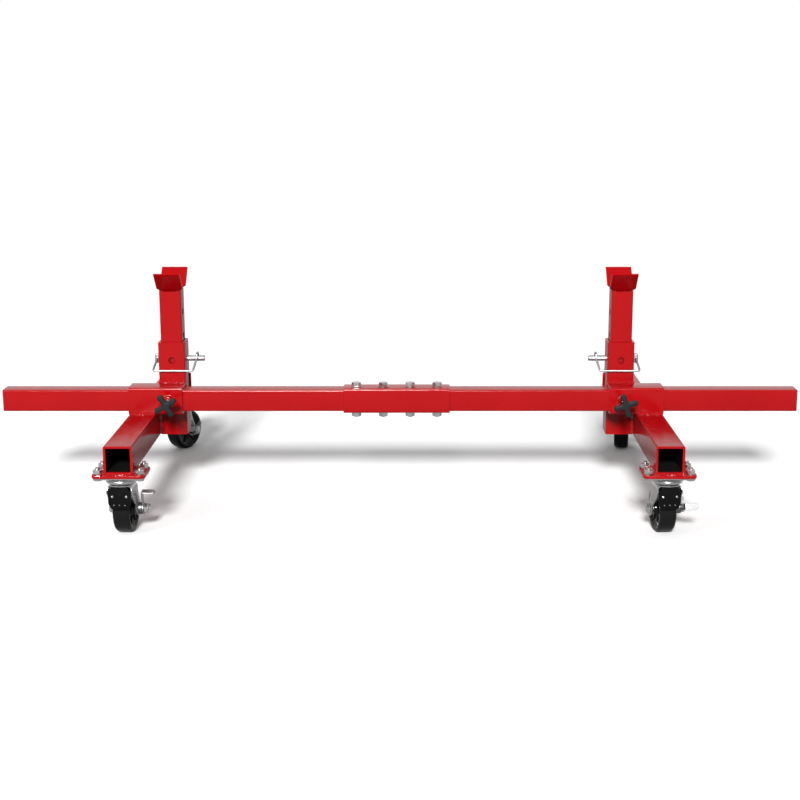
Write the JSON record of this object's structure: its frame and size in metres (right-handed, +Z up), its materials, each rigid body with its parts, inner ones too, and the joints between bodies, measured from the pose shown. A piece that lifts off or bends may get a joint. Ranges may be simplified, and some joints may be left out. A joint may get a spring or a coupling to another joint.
{
  "type": "engine stand",
  "caption": "Long joined square bar with two clamped sliding cradles; each has a cross leg on braked swivel casters and a pin-locked telescoping post ending in a flared saddle.",
  "frame": {"origin": "on the floor, at the middle of the overall footprint", "axes": "+Z up; +X along the bar; -Y is the side with the clamp knobs"},
  "size_m": [1.829, 0.8712, 0.526],
  "materials": {
    "red_paint": "glossy powder coat",
    "zinc": "bright zinc plated steel",
    "knob": "moulded black plastic",
    "caster_wheel": "hard glossy black wheel"
  },
  "bodies": {
    "crossbar": {"bar_left": "red_paint", "bar_right": "red_paint", "joiner_sleeve": "red_paint", "joiner_bolt_1": "zinc", "joiner_bolt_2": "zinc", "joiner_bolt_3": "zinc", "joiner_bolt_4": "zinc", "joiner_nut_1": "zinc", "joiner_nut_2": "zinc", "joiner_nut_3": "zinc", "joiner_nut_4": "zinc"},
    "left_carriage": {"left_slide_sleeve": "red_paint", "left_leg_tube": "red_paint", "left_post_socket": "red_paint", "left_gusset_plate": "red_paint", "left_front_mount_plate": "red_paint", "left_front_caster_plate": "zinc", "left_rear_mount_plate": "red_paint", "left_rear_caster_plate": "zinc"},
    "left_clamp_screw": {"left_clamp_screw": "zinc"},
    "left_star_knob": {"left_star_knob": "knob"},
    "left_height_post": {"left_height_post": "red_paint", "left_saddle": "red_paint"},
    "left_lock_pin": {"left_lock_pin": "zinc"},
    "left_pin_bail": {"left_pin_bail": "zinc"},
    "left_front_swivel": {"left_front_swivel_ring": "zinc", "left_front_fork": "zinc", "left_front_axle_bolt": "zinc"},
    "left_front_wheel": {"left_front_wheel": "caster_wheel"},
    "left_front_brake_lever": {"left_front_brake_lever": "zinc"},
    "left_rear_swivel": {"left_rear_swivel_ring": "zinc", "left_rear_fork": "zinc", "left_rear_axle_bolt": "zinc"},
    "left_rear_wheel": {"left_rear_wheel": "caster_wheel"},
    "left_rear_brake_lever": {"left_rear_brake_lever": "zinc"},
    "right_carriage": {"right_slide_sleeve": "red_paint", "right_leg_tube": "red_paint", "right_post_socket": "red_paint", "right_gusset_plate": "red_paint", "right_front_mount_plate": "red_paint", "right_front_caster_plate": "zinc", "right_rear_mount_plate": "red_paint", "right_rear_caster_plate": "zinc"},
    "right_clamp_screw": {"right_clamp_screw": "zinc"},
    "right_star_knob": {"right_star_knob": "knob"},
    "right_height_post": {"right_height_post": "red_paint", "right_saddle": "red_paint"},
    "right_lock_pin": {"right_lock_pin": "zinc"},
    "right_pin_bail": {"right_pin_bail": "zinc"},
    "right_front_swivel": {"right_front_swivel_ring": "zinc", "right_front_fork": "zinc", "right_front_axle_bolt": "zinc"},
    "right_front_wheel": {"right_front_wheel": "caster_wheel"},
    "right_front_brake_lever": {"right_front_brake_lever": "zinc"},
    "right_rear_swivel": {"right_rear_swivel_ring": "zinc", "right_rear_fork": "zinc", "right_rear_axle_bolt": "zinc"},
    "right_rear_wheel": {"right_rear_wheel": "caster_wheel"},
    "right_rear_brake_lever": {"right_rear_brake_lever": "zinc"}
  },
  "joints": [
    {"name": "left_carriage_slide", "type": "slide", "parent": "crossbar", "child": "left_carriage", "axis": [1, 0, 0], "range_m": [-0.285, 0.36]},
    {"name": "left_clamp_travel", "type": "slide", "parent": "left_carriage", "child": "left_clamp_screw", "axis": [0, -1, 0], "range_m": [0, 0.00195]},
    {"name": "left_knob_turn", "type": "hinge", "parent": "left_clamp_screw", "child": "left_star_knob", "pos_m": [-0.5317, -0.1729, 0.235], "axis": [0, -1, 0], "range_deg": [0, 405]},
    {"name": "left_post_height", "type": "slide", "parent": "left_carriage", "child": "left_height_post", "axis": [0, 0, 1], "range_m": [-0.11, 0.055]},
    {"name": "left_pin_pull", "type": "slide", "parent": "left_carriage", "child": "left_lock_pin", "axis": [-1, 0, 0], "range_m": [0, 0.009]},
    {"name": "left_bail_lift", "type": "hinge", "parent": "left_lock_pin", "child": "left_pin_bail", "pos_m": [-0.57, -0.0306, 0.3185], "axis": [0, -1, 0], "range_deg": [0, 12]},
    {"name": "left_front_swivel", "type": "hinge", "parent": "left_carriage", "child": "left_front_swivel", "pos_m": [-0.594, -0.3926, 0.12], "axis": [0, 0, 1], "continuous": true},
    {"name": "left_front_wheel_roll", "type": "hinge", "parent": "left_front_swivel", "child": "left_front_wheel", "pos_m": [-0.59243, -0.36264, 0.051], "axis": [0.9986, -0.0523, 0], "continuous": true},
    {"name": "left_front_brake_press", "type": "hinge", "parent": "left_front_swivel", "child": "left_front_brake_lever", "pos_m": [-0.59243, -0.36264, 0.051], "axis": [0.9986, -0.0523, 0], "range_deg": [0, 54]},
    {"name": "left_rear_swivel", "type": "hinge", "parent": "left_carriage", "child": "left_rear_swivel", "pos_m": [-0.594, 0.3534, 0.12], "axis": [0, 0, 1], "continuous": true},
    {"name": "left_rear_wheel_roll", "type": "hinge", "parent": "left_rear_swivel", "child": "left_rear_wheel", "pos_m": [-0.57855, 0.37912, 0.051], "axis": [0.8572, -0.515, 0], "continuous": true},
    {"name": "left_rear_brake_press", "type": "hinge", "parent": "left_rear_swivel", "child": "left_rear_brake_lever", "pos_m": [-0.57855, 0.37912, 0.051], "axis": [0.8572, -0.515, 0], "range_deg": [-54, 0]},
    {"name": "right_carriage_slide", "type": "slide", "parent": "crossbar", "child": "right_carriage", "axis": [1, 0, 0], "range_m": [-0.36, 0.3]},
    {"name": "right_clamp_travel", "type": "slide", "parent": "right_carriage", "child": "right_clamp_screw", "axis": [0, -1, 0], "range_m": [0, 0.00195]},
    {"name": "right_knob_turn", "type": "hinge", "parent": "right_clamp_screw", "child": "right_star_knob", "pos_m": [0.5137, -0.1729, 0.235], "axis": [0, -1, 0], "range_deg": [0, 405]},
    {"name": "right_post_height", "type": "slide", "parent": "right_carriage", "child": "right_height_post", "axis": [0, 0, 1], "range_m": [-0.11, 0.055]},
    {"name": "right_pin_pull", "type": "slide", "parent": "right_carriage", "child": "right_lock_pin", "axis": [1, 0, 0], "range_m": [0, 0.009]},
    {"name": "right_bail_lift", "type": "hinge", "parent": "right_lock_pin", "child": "right_pin_bail", "pos_m": [0.552, -0.0306, 0.3185], "axis": [0, 1, 0], "range_deg": [0, 12]},
    {"name": "right_front_swivel", "type": "hinge", "parent": "right_carriage", "child": "right_front_swivel", "pos_m": [0.576, -0.3926, 0.12], "axis": [0, 0, 1], "continuous": true},
    {"name": "right_front_wheel_roll", "type": "hinge", "parent": "right_front_swivel", "child": "right_front_wheel", "pos_m": [0.5726, -0.36279, 0.051], "axis": [0.9936, 0.1132, 0], "continuous": true},
    {"name": "right_front_brake_press", "type": "hinge", "parent": "right_front_swivel", "child": "right_front_brake_lever", "pos_m": [0.5726, -0.36279, 0.051], "axis": [0.9936, 0.1132, 0], "range_deg": [-54, 0]},
    {"name": "right_rear_swivel", "type": "hinge", "parent": "right_carriage", "child": "right_rear_swivel", "pos_m": [0.576, 0.3534, 0.12], "axis": [0, 0, 1], "continuous": true},
    {"name": "right_rear_wheel_roll", "type": "hinge", "parent": "right_rear_swivel", "child": "right_rear_wheel", "pos_m": [0.58069, 0.38303, 0.051], "axis": [0.9877, -0.1564, 0], "continuous": true},
    {"name": "right_rear_brake_press", "type": "hinge", "parent": "right_rear_swivel", "child": "right_rear_brake_lever", "pos_m": [0.58069, 0.38303, 0.051], "axis": [0.9877, -0.1564, 0], "range_deg": [-54, 0]}
  ],
  "couplings": [
    {"joint": "left_knob_turn", "follows": "left_clamp_travel", "rad_per_m": 3590.4},
    {"joint": "right_knob_turn", "follows": "right_clamp_travel", "rad_per_m": 3590.4}
  ]
}
